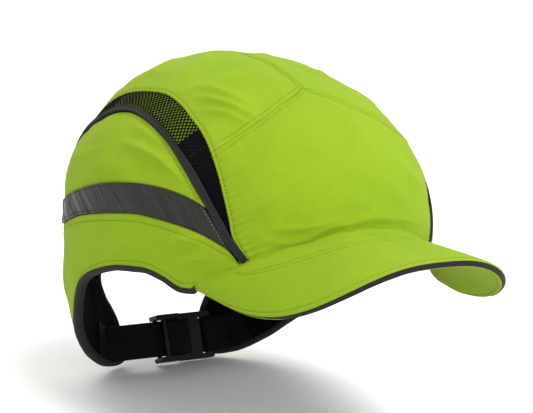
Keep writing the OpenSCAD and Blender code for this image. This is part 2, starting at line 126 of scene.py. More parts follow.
def on_crown(d, off):
    """Directions d brought to the crown's surface, then off mm outwards."""
    d = np.asarray(d, float)
    b = np.where(d[..., 1] < 0, FRONT, REAR)
    h = np.where(d[..., 2] > 0, TOP, DROP)
    g = np.stack([d[..., 0] / HALF ** 2, d[..., 1] / b ** 2, d[..., 2] / h ** 2], -1)
    t = 1 / np.sqrt((d * g).sum(-1))
    return d * t[..., None] + unit(g) * np.asarray(off)[..., None]


def outward(d):
    return on_crown(d, 1.0) - on_crown(d, 0.0)


def line3(keys, n, per=10):
    """n + 1 evenly spaced points on the crown along [angle from front, angle up] keys on the wearer's right."""
    return even(on_crown(ray(smooth(keys, per)), 0), n)


def flip_x(p):
    q = np.array(p)
    q[..., 0] *= -1
    return q


def full(path):
    return np.concatenate([flip_x(path)[::-1], path[1:]])


def between(low, up, n):
    v = np.linspace(0, 1, n + 1)[None, :, None]
    return low[:, None] * (1 - v) + up[:, None] * v


def inside(low, up, near, far):
    n, m = len(low) - 1, len(near) - 1
    u = np.linspace(0, 1, n + 1)[:, None, None]
    v = np.linspace(0, 1, m + 1)[None, :, None]
    return ((1 - v) * low[:, None] + v * up[:, None] + (1 - u) * near[None] + u * far[None]
            - (1 - u) * ((1 - v) * low[0] + v * up[0]) - u * ((1 - v) * low[n] + v * up[n]))


def aside(path, w):
    """A line moved sideways over the crown, upwards when it runs from front to back on the wearer's right."""
    p = on_crown(path, 0)
    t = np.gradient(p, axis=0)
    if abs(p[-1, 0]) < 0.01:
        t[-1] = [1, 0, 0]
    return p + np.cross(unit(t), outward(path)) * np.asarray(w, float)[..., None]


# ---- smooth repeatable noise
def hash01(i, seed):
    v = np.sin((i * 127.1 + seed * 311.7)) * 43758.5453
    return v - np.floor(v)


def wave1(s, seed=0.0):
    """Smooth noise along a line, -1 to 1, one bump per unit."""
    i = np.floor(s)
    f = ease(s - i)
    return (hash01(i, seed) * (1 - f) + hash01(i + 1, seed) * f) * 2 - 1


def wave2(a, b, seed=0.0):
    """Smooth noise over a surface, -1 to 1."""
    ia, ib = np.floor(a), np.floor(b)
    fa, fb = ease(a - ia), ease(b - ib)

    def c(x, y):
        return hash01(x * 57.31 + y * 113.97, seed)
    low = c(ia, ib) * (1 - fa) + c(ia + 1, ib) * fa
    up = c(ia, ib + 1) * (1 - fa) + c(ia + 1, ib + 1) * fa
    return (low * (1 - fb) + up * fb) * 2 - 1


def bell(x):
    return np.exp(-x * x)


# ---- meshes
# mm from the edge to the row of stitches: seams, turned edges, hem, lower panel's band edge, tape, its end, peak
SEAM_ROW, EDGE_ROW, HEM_ROW, BAND_ROW, TAPE_ROW, TAPE_END_ROW, PEAK_ROW = 3.0, 2.2, 3.6, 4.0, 1.7, 3.2, 3.5
# a stitch: pitch, half thickness and sides, then (share of its length, share of its thickness, lift) of its rings
STEP, THREAD_R, SIDES = 1.9, 0.19, 5
THREAD_RINGS = ((0, 0.35, -0.25), (0.2, 1, 0.02), (0.8, 1, 0.02), (1, 0.35, -0.25))
# a sheet's rectangle is narrowed until its cut fills at least this share of it
LEAST_SHARE = 0.35


def new_object(name, data):
    ob = bpy.data.objects.new(name, data)
    bpy.context.scene.collection.objects.link(ob)
    return ob


def modifier(ob, name, kind, **settings):
    m = ob.modifiers.new(name, kind)
    for k, v in settings.items():
        setattr(m, k, v)
    return m


def sided(left, *names):
    return [n + ("_left" if left else "_right") for n in names]


def add_object(name, node, points, faces, mat, uvs=None, left=False):
    """A piece on the cap in place of a CAD node; points are in mm about the crown's centre, left mirrors them."""
    verts = (np.asarray(points).reshape(-1, 3) + CENTRE) * MM
    if left:
        verts, faces = flip_x(verts), [f[::-1] for f in faces]
    me = bpy.data.meshes.new(name)
    me.from_pydata(verts.tolist(), [], faces)
    me.validate()
    if uvs is not None:
        layer = me.uv_layers.new(name="cloth")
        idx = np.empty(len(me.loops), dtype=np.int32)
        me.loops.foreach_get("vertex_index", idx)
        layer.data.foreach_set("uv", np.asarray(uvs, dtype=np.float32)[idx].ravel())
    for p in me.polygons:
        p.use_smooth = True
    me.materials.append(mat)
    ob = new_object(name, me)
    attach(ob, "cap")
    if node:
        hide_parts(node)
    return ob


def cloth_uv(u, v):
    u, v = np.broadcast_arrays(u, v)
    return np.stack([u, v], -1).reshape(-1, 2) * MM


def net_object(name, node, outer, inner, u, v, mat, left=False, flip=False):
    """Two equal nets joined by walls round their edges; u and v are their distances in mm."""
    n, m = outer.shape[:2]
    s = n * m
    i, j = np.arange(n - 1) * m, np.arange(m - 1)
    e, q, a = i + m - 1, (n - 1) * m + j, (i[:, None] + j).ravel()
    b = a + s
    quads = ([a, a + m, a + m + 1, a + 1], [b + 1, b + m + 1, b + m, b], [i + m, i, i + s, i + m + s],
             [e, e + m, e + m + s, e + s], [j, j + 1, j + 1 + s, j + s], [q + 1, q, q + s, q + 1 + s])
    faces = np.concatenate([np.stack(f, 1) for f in quads])
    faces = (faces if flip else faces[:, ::-1]).tolist()
    uv = cloth_uv(u, v)
    return add_object(name, node, np.concatenate([outer, inner]), faces, mat, np.concatenate([uv, uv]), left)


def skin(ring, flip=False):
    """Faces of a tube through rings of points, with its two end caps."""
    n, m = ring.shape[:2]
    i, k = np.meshgrid(np.arange(n - 1) * m, np.arange(m), indexing="ij")
    k2 = (k + 1) % m
    quads = np.stack([i + k, i + k2, i + m + k2, i + m + k], -1).reshape(-1, 4)
    first, last = tuple(range(m)), tuple(range((n - 1) * m, n * m))
    if flip:
        return quads[:, [0, 3, 2, 1]].tolist() + [first, last[::-1]]
    return quads.tolist() + [first[::-1], last]


def traced(dist, points, normals, d, keep):
    """Points and normals where dist is d, on the rows of a net to keep."""
    out = []
    for x, ds, ps, ns in zip(np.broadcast_to(d, len(dist))[keep], dist[keep], points[keep], normals[keep]):
        o = np.argsort(ds)
        out.append((sample(x, ds[o], ps[o]), sample(x, ds[o], ns[o])))
    return np.array(out).swapaxes(0, 1)


class Sheet:
    """A piece of cloth over the crown, from a net of directions."""

    def __init__(self, net, puff=None, thick=CLOTH, base=0.0):
        self.flat = on_crown(net, 0.0)
        self.n = outward(net)
        self.u = arc(self.flat, 0)
        self.v = arc(self.flat, 1)
        self.dist = {"near": self.u, "far": self.u[-1:] - self.u, "low": self.v, "up": self.v[:, -1:] - self.v}
        self.off = np.full(self.u.shape, base) if puff is None else puff(self)
        self.thick = thick

    def rim(self, edges=("low", "up", "near", "far")):
        """Distance to the nearest of these edges."""
        return np.minimum.reduce([self.dist[e] for e in edges])

    def points(self, extra=0.0):
        return self.flat + self.n * (self.off + extra)[..., None]

    def pad(self, name, node, mat, back, face, fill, left=False):
        """A padded piece between two heights."""
        nets = [self.flat + self.n * h[..., None] for h in np.broadcast_arrays(back, face)]
        ob = net_object(name, node, *nets, self.u, self.v, mat, left)

    def build(self, name, node, mat, left=False):
        """The sewn piece; it also works out the size and area of its cut."""
        inner = self.flat + self.n * np.minimum(self.off - self.thick * 0.8, -self.thick)[..., None]
        ob = net_object(name, node, self.points(), inner, self.u, self.v, mat, left)
        a = self.flat[1:, 1:] - self.flat[:-1, :-1]
        b = self.flat[1:, :-1] - self.flat[:-1, 1:]
        area = 0.5 * np.linalg.norm(np.cross(a, b), axis=-1).sum() * MM * MM
        length, width = self.u[-1].max() * MM, self.v[:, -1].max() * MM
        width = min(width, area / (LEAST_SHARE * length))

    def line(self, edge, d):
        """Points and normals just over the cloth, at distance d from one of its edges."""
        nets = (self.dist[edge], self.points(0.05), self.n)
        if edge in ("near", "far"):
            nets = [a.swapaxes(0, 1) for a in nets]
        return traced(*nets, d, nets[0].max(1) >= d * 1.5)


class Threads:
    """Many short stitches gathered into one mesh."""

    def __init__(self, name, mat):
        self.name, self.mat = name, mat
        self.v, self.f = [], []

    def row(self, points, normals, step=STEP, length=1.25):
        """Stitches of this length, one at each step along the points: four rings joined by quads."""
        s = arc(points)
        share, thick, lift = np.array(THREAD_RINGS).T
        x = np.arange(0.6, s[-1] - length, step)[:, None] + length * share
        n = sample(x, s, normals)
        c = sample(x, s, points) + n * lift[:, None]
        t = unit(c[:, 3:] - c[:, :1])
        w = unit(np.cross(t, n))
        h = np.cross(w, t)
        a = np.arange(SIDES) / SIDES * 2 * np.pi
        around = np.cos(a)[:, None] * w[:, :, None] * 1.15 + np.sin(a)[:, None] * h[:, :, None] * 0.8
        rings = np.arange(len(x) * 4).reshape(-1, 4) + sum(len(v) for v in self.v) // SIDES
        i = rings[:, :3].reshape(-1, 1) * SIDES
        m = np.arange(SIDES)
        m2 = (m + 1) % SIDES
        self.v.append((c[:, :, None] + (thick * THREAD_R)[:, None, None] * around).reshape(-1, 3))
        self.f += np.stack([i + m, i + m2, i + SIDES + m2, i + SIDES + m], -1).reshape(-1, 4).tolist()

    def build(self):
        add_object(self.name, None, np.concatenate(self.v), self.f, self.mat)


# ---- materials
def new_material(name, color, rough, **sockets):
    mat = bpy.data.materials.new(name)
    mat.use_nodes = True
    tree = mat.node_tree
    shader = tree.nodes["Principled BSDF"]
    shader.inputs["Base Color"].default_value = (*color, 1)
    shader.inputs["Roughness"].default_value = rough
    for k, v in sockets.items():
        shader.inputs[k.replace("_", " ")].default_value = v
    return mat, tree, shader


def put(tree, value, socket):
    """A socket takes a link or a constant."""
    if isinstance(value, bpy.types.NodeSocket):
        tree.links.new(value, socket)
    else:
        socket.default_value = value


def add(tree, kind, settings=None, inputs=None):
    n = tree.nodes.new("ShaderNode" + kind)
    for k, v in (settings or {}).items():
        setattr(n, k, v)
    for k, v in (inputs or {}).items():
        put(tree, v, n.inputs[k])
    return n


def math_node(tree, op, *values):
    return add(tree, "Math", {"operation": op}, dict(enumerate(values))).outputs[0]


def blend(tree, a, x, b, y):
    """a * x + b * y for two nodes a and b."""
    return math_node(tree, "MULTIPLY_ADD", a, x, math_node(tree, "MULTIPLY", b, y))


def ramp(tree, fac, stops):
    n = tree.nodes.new("ShaderNodeValToRGB")
    e = n.color_ramp.elements
    for i, (p, c) in enumerate(stops):
        if i > 1:
            e.new(p)
        e[i].position = p
        e[i].color = (*c, 1) if hasattr(c, "__len__") else (c, c, c, 1)
    tree.links.new(fac, n.inputs["Fac"])
    return n.outputs["Color"]


def noise(tree, coord, scale, detail=3.0, rough=0.55):
    values = {"Scale": scale, "Detail": detail, "Roughness": rough, "Distortion": 0.0, "Vector": coord}
    return add(tree, "TexNoise", None, values).outputs["Fac"]


def bands(tree, coord, pitch, axis):
    return add(tree, "TexWave", {"wave_type": "BANDS", "bands_direction": axis, "wave_profile": "SIN"},
               {"Scale": 0.31416 / pitch, "Distortion": 0.0, "Vector": coord}).outputs["Fac"]


def bump(tree, height, strength, distance, base=None):
    inputs = {"Strength": strength, "Distance": distance, "Height": height}
    if base is not None:
        inputs["Normal"] = base
    return add(tree, "Bump", None, inputs).outputs["Normal"]


def mixed(tree, fac, a, b, mode="MIX"):
    b = (*b, 1) if isinstance(b, tuple) else b
    return add(tree, "Mix", {"data_type": "RGBA", "blend_type": mode}, {"Factor": fac, 6: a, 7: b}).outputs[2]


def paint(tree, shader, color, rough, normal):
    for name, value in (("Base Color", color), ("Roughness", rough), ("Normal", normal)):
        put(tree, value, shader.inputs[name])


def worn_edges(tree, color, light, start, end, gain, share):
    """Paler where edges and ridges are rubbed."""
    rim = ramp(tree, add(tree, "NewGeometry").outputs["Pointiness"], [(start, 0.0), (end, 1.0)])
    pale = tuple(min(1, c * gain + 0.01) for c in light)
    return mixed(tree, math_node(tree, "MULTIPLY", rim, share), color, pale)


def cloth_coords(tree):
    return add(tree, "UVMap", {"uv_map": "cloth"}).outputs["UV"], add(tree, "TexCoord").outputs["Object"]


def woven(name, light, dark, pitch, rough=0.82, depth=0.0002, sheen=0.25, tint=(1, 1, 1), worn=0.12, gloss=0.12):
    """Plain-weave cloth: thread bump, uneven dye, fine fuzz, paler worn ridges."""
    mat, t, sh = new_material(name, light, rough, Sheen_Weight=sheen, Sheen_Roughness=0.45,
                              Sheen_Tint=(*tint, 1), Specular_IOR_Level=gloss)
    uv, ob = cloth_coords(t)
    a = bands(t, uv, pitch, "X")
    b = bands(t, uv, pitch * 1.06, "Y")
    weave = math_node(t, "ABSOLUTE", math_node(t, "SUBTRACT", a, b))
    big = noise(t, ob, 34, 4, 0.6)
    mid = noise(t, ob, 240, 3, 0.6)
    fine = noise(t, ob, 2400, 2, 0.7)
    col = ramp(t, blend(t, big, 0.75, mid, 0.3), [(0.3, dark), (0.72, light)])
    thread = ramp(t, blend(t, fine, 0.5, weave, 0.5), [(0.15, 0.82), (0.75, 1.0)])
    col = worn_edges(t, mixed(t, 1.0, col, thread, "MULTIPLY"), light, 0.52, 0.6, 1.2, worn)
    paint(t, sh, col, math_node(t, "MULTIPLY_ADD", fine, 0.12, rough - 0.06),
          bump(t, blend(t, weave, 0.7, fine, 0.35), 0.5, depth, bump(t, mid, 0.35, 0.0005)))
    return mat


def satin(name, light, dark, pitch, rough=0.42, axis="X", streak=60, sheen=0.15, gloss=0.2):
    """Close ribbed tape or binding with a soft shine and streaks across it; the streaks' colour is a mild tone on
    piping and binding, and on the reflective tape, from near black to light, it is painted highlight and shade of the
    crinkles.
    """
    mat, t, sh = new_material(name, light, rough, Sheen_Weight=sheen, Sheen_Roughness=0.4, Specular_IOR_Level=gloss)
    uv, ob = cloth_coords(t)
    rib = bands(t, uv, pitch, axis)
    stretch = add(t, "Mapping", None, {"Scale": (streak * 9, streak, 1), "Vector": uv}).outputs[0]
    lines = noise(t, stretch, 1.0, 4, 0.65)
    fine = noise(t, ob, 1800, 2, 0.7)
    col = ramp(t, blend(t, lines, 0.7, fine, 0.3), [(0.3, dark), (0.75, light)])
    col = mixed(t, 1.0, col, ramp(t, rib, [(0.0, 0.75), (0.6, 1.0)]), "MULTIPLY")
    paint(t, sh, col, math_node(t, "MULTIPLY_ADD", lines, 0.25, rough - 0.1),
          bump(t, blend(t, rib, 0.6, fine, 0.4), 0.5, pitch * 0.3, bump(t, lines, 0.4, 0.0004)))
    return mat


def moulded(name, light, dark, rough, grain=900, depth=0.00012, spec=0.5):
    """Moulded plastic: fine spark grain, uneven gloss, paler rubbed edges."""
    mat, t, sh = new_material(name, light, rough, Specular_IOR_Level=spec)
    ob = add(t, "TexCoord").outputs["Object"]
    big = noise(t, ob, 60, 4, 0.6)
    fine = noise(t, ob, grain, 3, 0.6)
    col = worn_edges(t, ramp(t, big, [(0.3, dark), (0.7, light)]), light, 0.53, 0.62, 2, 0.5)
    paint(t, sh, col, math_node(t, "MULTIPLY_ADD", big, 0.2, rough - 0.1), bump(t, fine, 0.35, depth))
    return mat


def foamed(name, light, dark):
    """Knit-faced foam: small open cells and a soft matt face."""
    mat, t, sh = new_material(name, light, 0.95, Sheen_Weight=0.03, Sheen_Roughness=0.6, Specular_IOR_Level=0.15)
    ob = add(t, "TexCoord").outputs["Object"]
    cells = add(t, "TexVoronoi", None, {"Scale": 900.0, "Vector": ob}).outputs["Distance"]
    big = noise(t, ob, 90, 3, 0.6)
    col = mixed(t, 1.0, ramp(t, big, [(0.3, dark), (0.7, light)]),
                ramp(t, cells, [(0.0, 0.55), (0.6, 1.0)]), "MULTIPLY")
    paint(t, sh, col, math_node(t, "MULTIPLY_ADD", big, 0.1, 0.88), bump(t, cells, 0.6, 0.0004))
    return mat


HI_VIS = woven("hi_vis_fabric", (0.240, 0.368, 0.0105), (0.205, 0.324, 0.0085), 0.00062,
               sheen=0.06, tint=(0.8, 1, 0.3))
# a darker copy of the hi-vis cloth for the peak's underside: painted shade under the peak
PEAK_UNDER_SHADED = woven("peak_under_fabric_painted_shade", (0.205, 0.305, 0.011), (0.18, 0.275, 0.009), 0.00062,
              sheen=0.05, tint=(0.8, 1, 0.3))
# the stitch thread is coloured darker than the cloth it sews: painted shade of the needle holes along each row
THREAD = woven("hi_vis_thread_painted_shade", (0.175, 0.24, 0.0085), (0.12, 0.168, 0.0065), 0.0003, rough=0.6, sheen=0.05)
TAPE_THREAD = woven("tape_thread", (0.20, 0.24, 0.03), (0.13, 0.16, 0.02), 0.0003, rough=0.6, sheen=0.05)
GREY_THREAD = woven("grey_thread", (0.035, 0.035, 0.035), (0.02, 0.02, 0.02), 0.0003, rough=0.6, sheen=0.03)
MESH = moulded("black_mesh", (0.0024, 0.002, 0.0028), (0.0014, 0.0012, 0.0017), 0.75, grain=2600, spec=0.025)
PIPING = satin("grey_piping", (0.025, 0.025, 0.027), (0.016, 0.016, 0.018), 0.0007,
               rough=0.55, streak=40, sheen=0.0, gloss=0.06)
BINDING = satin("grey_binding", (0.026, 0.026, 0.027), (0.017, 0.017, 0.018), 0.0008,
                rough=0.6, streak=40, sheen=0.0, gloss=0.08)
# the tape's colour streaks, from near black to light grey across the tape, are painted highlights and shade of its
# crinkles
TAPE = satin("reflective_tape", (0.036, 0.0345, 0.032), (0.006, 0.0058, 0.0055), 0.0009,
             rough=0.38, axis="Y", streak=32, sheen=0.0, gloss=0.2)
LINING = woven("black_lining", (0.0042, 0.0032, 0.0055), (0.0024, 0.0018, 0.0032), 0.0008,
               depth=0.0003, sheen=0.0, worn=0.02, gloss=0.03)
WEBBING = woven("black_webbing", (0.0045, 0.0038, 0.0048), (0.0024, 0.002, 0.0025), 0.0011,
                rough=0.6, depth=0.0004, sheen=0.0, worn=0.05, gloss=0.08)
FOAM = foamed("foam", (0.02, 0.02, 0.021), (0.012, 0.012, 0.013))
TERRY = foamed("sweatband_terry", (0.024, 0.024, 0.025), (0.014, 0.014, 0.015))
SHELL = moulded("shell_plastic", (0.006, 0.006, 0.0065), (0.004, 0.004, 0.0045), 0.6, spec=0.1)
BOARD = moulded("board_plastic", (0.012, 0.012, 0.0125), (0.008, 0.008, 0.009), 0.5)
BUCKLE = moulded("buckle_plastic", (0.0022, 0.0022, 0.0025), (0.0015, 0.0015, 0.0018), 0.3,
                 grain=500, depth=0.00006, spec=0.12)


# ---- cover panels
STITCHES = {k: Threads(k, m) for k, m in (
    ("stitches_cover", THREAD), ("stitches_tape", TAPE_THREAD), ("stitches_binding", GREY_THREAD))}

# folds in the covers: (keys, half width, height); in each pair the wearer's right comes first
FRONT_FOLDS = [
    ([(25, 5.5), (18, 4.8), (9, 8.4), (0, 9.5)], 2.2, 0.45), ([(23, 8), (15, 8.6), (6, 10.5)], 2.4, 0.4),
    ([(31, 11), (26, 14), (21, 18)], 4.5, 0.6), ([(4, 10.5), (-8, 9.5), (-20, 7)], 2.6, 0.35),
    ([(30, 30), (22, 33), (12, 40)], 5.0, 0.45), ([(-30, 12), (-24, 18), (-16, 24)], 5.0, 0.5)]
CROWN_FOLDS = (
    [([(60, 50), (50, 49.5), (41, 47), (32, 43.5), (25, 40.5)], 2.4, 1.1),
     ([(54, 44), (46, 44), (38, 42.3), (30, 39)], 1.9, 0.8), ([(64, 54), (52, 55), (40, 51.5), (28, 46)], 3.4, 0.8),
     ([(43, 33), (39, 35)], 2.4, -0.9), ([(60, 54), (50, 60), (36, 66)], 5.0, 0.8),
     ([(80, 58), (88, 68), (110, 76)], 6.0, 0.7), ([(118, 50), (126, 60), (140, 66)], 6.0, 0.8),
     ([(142, 20), (148, 34), (152, 48)], 5.0, 0.7), ([(100, 55), (110, 58), (122, 55)], 4.0, 0.5)],
    [([(44, 40), (54, 44), (70, 49), (90, 52)], 4.0, 0.7), ([(62, 60), (52, 64), (36, 62)], 4.0, 0.6),
     ([(120, 50), (128, 60), (140, 68)], 6.0, 0.8), ([(140, 20), (146, 34), (150, 48)], 5.0, 0.7)])
SIDE_FOLDS = (
    [([(83, 29), (71, 28), (62, 26), (55, 23), (50, 20)], 2.6, 1.1), ([(120, 14), (104, 20), (92, 24)], 4.0, 0.6),
     ([(60, 31), (72, 34), (84, 36)], 3.5, 0.5), ([(96, 16), (84, 20), (74, 21)], 4.0, 0.45)],
    [([(78, 30), (66, 26), (58, 22)], 3.4, 0.7), ([(116, 14), (100, 22), (88, 26)], 4.0, 0.6)])
LOWER_FOLDS = (
    [([(53, 1), (47, 3.5), (42, 3.4)], 2.6, 0.9), ([(51, -3), (40, -1)], 2.2, 0.7),
     ([(88, -6), (98, -14), (108, -24)], 5.0, 0.6), ([(112, -14), (122, -26), (134, -36)], 6.0, 0.7),
     ([(128, -20), (140, -30), (150, -42)], 5.0, -0.5), ([(62, -1), (74, -3), (86, -5)], 3.5, 0.4)],
    [([(60, 0), (50, 3), (44, 2)], 3.0, 0.7), ([(90, -8), (102, -18), (110, -28)], 5.0, 0.7),
     ([(114, -12), (126, -26), (138, -38)], 6.0, 0.6)])


def fold(s, keys, width, height):
    """A soft ridge or dent along keys."""
    path = line3(keys, 24)
    p = s.flat[:, :, None]
    a, b = path[:-1], path[1:]
    ab = b - a
    t = np.clip(((p - a) * ab).sum(-1) / (ab * ab).sum(-1), 0, 1)
    d = np.linalg.norm(p - a - ab * t[..., None], axis=-1)
    k = d.argmin(-1)[..., None]
    along = (k + np.take_along_axis(t, k, -1))[..., 0] / len(a)
    taper = np.sin(np.pi * np.clip(along * 0.92 + 0.04, 0, 1)) ** 0.7
    return 2.6 * height * np.exp(-(d.min(-1) / width) ** 1.5) * taper


def felled(d, width=3.7, row=SEAM_ROW, lift=0.5, sink=0.5):
    """Height of a flat-felled seam at distance d from it."""
    plateau = 1 / (1 + np.exp(np.minimum((d - width) / 0.25, 50)))
    return lift * plateau - sink * bell(d / 0.7) - groove(d, row, 0.4)


def turned(d, r=0.9):
    """A folded edge rolls down over its last r mm."""
    q = np.clip(1 - d / r, 0, 1)
    return -r * (1 - np.sqrt(np.maximum(1 - q * q, 0)))


def groove(d, row, depth, half=0.5):
    """The dent pulled by a row of stitches at distance row."""
    return depth * bell((d - row) / half)


def puckers(s, edge, seed, depth, pitch=6.0, reach=8.0):
    """Small gathers that run away from a sewn edge."""
    d = s.dist[edge]
    along = s.u if edge in ("low", "up") else s.v
    w = (wave1(along / pitch + 0.15 * wave1(along / 17, seed + 5) * 4, seed) * 0.7
         + wave1(along / (pitch * 0.43), seed + 3) * 0.3)
    return 2.3 * depth * w * np.exp(-d / reach) * np.clip(d / 1.2, 0, 1)


def cover(edges, amp, seed, folds=(), rough=0.35):
    """Height of a cover panel: edges is {edge: (kind, pucker depth)}."""
    def height(s):
        near = s.rim(edges)
        x, y, z = s.flat[..., 0], s.flat[..., 1], s.flat[..., 2]
        soft = (wave2(x / 21 + z / 33, z / 19 - y / 27, seed) * 0.6
                + wave2(y / 11 + seed, z / 12 + x / 15, seed + 2) * 0.3
                + wave2(y / 5.3, z / 5.7 + x / 7, seed + 4) * 0.1)
        h = amp * (1 - np.exp(-(near / 9) ** 1.5)) + 2.5 * rough * soft * np.clip(near / 6, 0, 1)
        for f in folds:
            h += fold(s, *f) * np.clip(near / 5, 0, 1)
        h = np.maximum(h, -0.1)
        for i, (e, (kind, depth)) in enumerate(edges.items()):
            d = s.dist[e]
            h += felled(d) if kind == "felled" else turned(d) if kind == "turned" else -0.12 * bell(d / 1.5)
            if depth:
                h += puckers(s, e, seed + 10 + i, depth)
        return h
    return height


def stitch(s, edge, d, group="stitches_cover", left=False, step=STEP, start=0.0):
    """A row of stitches at distance d from an edge of the sheet; start is the share left out at its front end."""
    pts, nor = s.line(edge, d)
    first = int(start * len(pts))
    pts, nor = pts[first:], nor[first:]
    if left:
        pts, nor = flip_x(pts), flip_x(nor)
    STITCHES[group].row(pts, nor, step, step * 0.66)


def front_panel():
    side = line3(front_edge, 150)
    net = inside(full(line3(front_low, 110)), full(line3(front_seam, 110)), flip_x(side), side)
    edges = {"low": ("plain", 0.4), "up": ("felled", 0.3), "near": ("turned", 0.0), "far": ("turned", 0.0)}
    s = Sheet(net, cover(edges, 1.0, 1.0, FRONT_FOLDS))
    # short gathers that run in from the stitched side edges
    v = s.v
    comb = np.sin(2 * np.pi * v / 3.5 + 0.8 * wave1(v / 9, 3)) * (0.65 + 0.35 * wave1(v / 5, 9))
    reach = 7.5 + 3.5 * wave1(v / 4.1, 6)
    for e in ("near", "far"):
        d = s.dist[e]
        s.off += 0.5 * comb * np.exp(-(d / reach) ** 2) * np.clip((d - 1.2) / 1.5, 0, 1)
        s.off -= groove(d, EDGE_ROW, 0.4)
    bulge = np.clip((v / v[:, -1:] - 0.4) / 0.2, 0, 1)
    s.off += 1.5 * bulge * bell(s.dist["near"] / 11)
    s.build("front_panel_cloth", "front_panel", HI_VIS)
    for e, d in (("up", SEAM_ROW), ("near", EDGE_ROW), ("far", EDGE_ROW)):
        stitch(s, e, d)


def crown_panel(left):
    low = line3(vent_top[4:] + [(153, -5.6)], 150)
    a = rad(54 + (188 - 54) * np.arange(151) / 150)
    ridge = even(on_crown(np.stack([0 * a, -np.cos(a), np.sin(a)], 1), 0), 150)
    near = line3(front_seam[::-1], 100)
    far = line3([(153, -5.6), (165, -7.2), (180, -8)], 100)
    edges = {"low": ("turned", 0.15), "up": ("felled", 0.25), "near": ("felled", 0.35), "far": ("felled", 0.3)}
    amp, seed = (0.3, 2.3) if left else (1.1, 1.7)
    s = Sheet(inside(low, ridge, near, far), cover(edges, amp, seed, CROWN_FOLDS[left], 0.55))
    s.off -= groove(s.dist["low"], EDGE_ROW, 0.4)
    if left:
        s.off += 0.8 * bell(s.dist["low"] / 12) * np.clip(1.4 - s.u / 60, 0, 1)
    s.build(*sided(left, "crown_cloth", "crown_panel"), HI_VIS, left)
    for e, d in (("up", SEAM_ROW), ("low", EDGE_ROW), ("near", SEAM_ROW), ("far", SEAM_ROW)):
        stitch(s, e, d, left=left)


def side_panel(left):
    edges = {"low": ("turned", 0.2), "up": ("turned", 0.25), "near": ("felled", 0.0), "far": ("felled", 0.2)}
    s = Sheet(between(line3(band_top[:11], 150), line3(piping_low[3:], 150), 30),
              cover(edges, 0.8, 3.3 if left else 3.1, SIDE_FOLDS[left], 0.4))
    s.off -= groove(s.dist["up"], EDGE_ROW, 0.25)
    s.build(*sided(left, "side_cloth", "side_panel"), HI_VIS, left)
    stitch(s, "up", EDGE_ROW, left=left)


def reflective_band(left):
    """Crinkled tape, smooth at the front and more and more creased to the rear."""
    low, top = line3(band_low, 330), line3(band_top, 330)
    near = line3([band_low[0], (35, 4), (38, 8.4), band_top[0]], 22)
    far = even(np.array([low[-1], top[-1]]), 22)
    s = Sheet(inside(low, top, near, far), base=0.55)
    u, v = s.u, s.v
    seed = 8.0 if left else 4.0
    rear = 1 / (1 + np.exp(-(u - 72) / 12))
    slant = u + 1.2 * wave1(u / 9, seed) + v * 0.22
    fine = 1 - 2 * np.abs(wave1(slant / 3.1, seed)) ** 0.7
    crinkle = fine * 0.5 + wave1(slant / 5.1, seed + 1) * 0.5
    s.off += crinkle * (0.1 + 0.75 * rear) * (0.75 + 0.25 * wave1(v / 4 + u / 8, seed + 2))
    s.off += 0.3 * wave2(u / 24, v / 9, seed)
    s.off += sum(turned(s.dist[e], 0.7) for e in ("low", "up", "near"))
    for e in ("low", "up"):
        s.off -= groove(s.dist[e], TAPE_ROW, 0.22, 0.45)
    s.off -= groove(s.dist["near"], TAPE_END_ROW, 0.2)
    s.build(*sided(left, "tape", "reflective_band"), TAPE, left)
    for e in ("up", "low"):
        stitch(s, e, TAPE_ROW, "stitches_binding", left)
    stitch(s, "near", TAPE_END_ROW, "stitches_tape", left, step=2.1)


# section of the vent piping: (share across, height)
PIPING_SECTION = [(0.0, -0.9), (-0.02, 0.2), (0.02, 0.75), (0.09, 1.05), (0.17, 1.08), (0.25, 0.9), (0.5, 0.82),
                  (0.75, 0.9), (0.83, 1.08), (0.91, 1.05), (0.98, 0.75), (1.02, 0.2), (1.0, -0.9), (0.5, -1.0)]


def vent_piping(left):
    """Piping along the lower edge of the vent; its front end sinks under the peak."""
    low, top = line3(piping_low, 360), line3(piping_top, 360)
    sunk = 2.0 * bell(arc(low) / 3.5)
    ring = np.stack([on_crown(low * (1 - v) + top * v, h - sunk) for v, h in PIPING_SECTION], 1)
    uv = cloth_uv(arc(ring), np.linspace(0, 6, len(PIPING_SECTION)))
    add_object(*sided(left, "piping", "vent_piping"), ring, skin(ring), PIPING, uv, left)


# ---- lower panels, hem, lining
def lower_lines(step):
    """Hem or bill seam below, band edge above, its guide angles, whether on the hem, and the hem key's index."""
    side, edge = smooth(bill_line[5:9], 12), smooth(hem, 12)
    side = side[side[:, 0] < 40.5]
    p = on_crown(ray(np.concatenate([side, edge[:, :2]])), 0)
    guide = np.concatenate([side[:, 0] + 2, edge[:, 2]])
    on_hem = np.repeat([0.0, 1.0], [len(side), len(edge)])
    index = np.concatenate([np.full(len(side), -1.0), np.arange(len(edge)) / 12])
    s = arc(p)
    q = np.linspace(0, s[-1], int(s[-1] / step) + 1)
    guide, on_hem, index = (np.interp(q, s, x) for x in (guide, on_hem, index))
    top = on_crown(ray(np.stack([guide, height_at(band_low, guide)], 1)), 0)
    return sample(q, s, p), top, guide, on_hem > 0.5, index


def lower_panel(left):
    p, top, _, on_hem, _ = lower_lines(1.2)
    low = aside(p, np.where(on_hem, 1.6, 0.0))
    edges = {"low": ("plain", 0.25), "up": ("turned", 0.22), "near": ("plain", 0.0)}
    s = Sheet(between(low, top, 42), cover(edges, 0.55, 5.3 if left else 5.1, LOWER_FOLDS[left], 0.5))
    hemmed = on_hem.astype(float)[:, None]
    s.off -= groove(s.dist["low"], HEM_ROW, 0.4) * hemmed + groove(s.dist["up"], BAND_ROW, 0.4)
    s.build(*sided(left, "lower_cloth", "lower_panel"), HI_VIS, left)
    stitch(s, "low", HEM_ROW, left=left, start=1 - hemmed.mean() + 0.004)
    stitch(s, "up", BAND_ROW, left=left)


